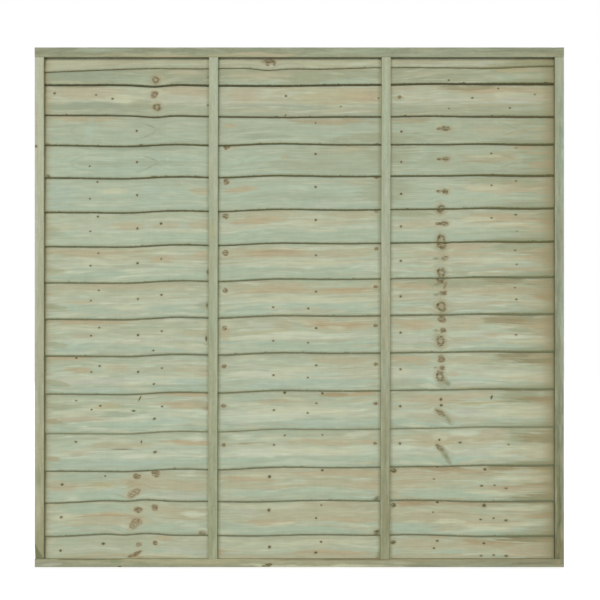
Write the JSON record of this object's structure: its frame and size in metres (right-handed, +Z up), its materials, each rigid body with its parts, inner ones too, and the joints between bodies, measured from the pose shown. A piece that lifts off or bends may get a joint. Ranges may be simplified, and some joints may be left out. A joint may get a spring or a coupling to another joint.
{
  "type": "overlap fence panel",
  "caption": "Timber fence panel of thin waney-edged boards lapped over each other like slates and held between a front and a rear frame of battens.",
  "frame": {"origin": "on the outer edge of the front left stile, at half the panel's height and half the stile's thickness", "axes": "+X along the panel's width, away from the left edge; +Y through its thickness, from the front to the rear; +Z up"},
  "size_m": [1.828, 0.0436, 1.7956],
  "materials": {
    "lap_board": "sawn, green pressure-treated softwood",
    "batten": "sawn, green pressure-treated softwood",
    "rail": "sawn, olive pressure-treated softwood"
  },
  "bodies": {
    "root": {"board_01": "lap_board", "board_02": "lap_board", "board_03": "lap_board", "board_04": "lap_board", "board_05": "lap_board", "board_06": "lap_board", "board_07": "lap_board", "board_08": "lap_board", "board_09": "lap_board", "board_10": "lap_board", "board_11": "lap_board", "board_12": "lap_board", "board_13": "lap_board", "board_14": "lap_board", "board_15": "lap_board", "board_16": "lap_board", "front_left_stile": "batten", "front_batten_1": "batten", "front_batten_2": "batten", "front_right_stile": "batten", "front_top_rail": "rail", "front_bottom_rail": "rail", "rear_left_stile": "batten", "rear_batten_1": "batten", "rear_batten_2": "batten", "rear_right_stile": "batten", "rear_top_rail": "rail", "rear_bottom_rail": "rail"}
  },
  "joints": []
}
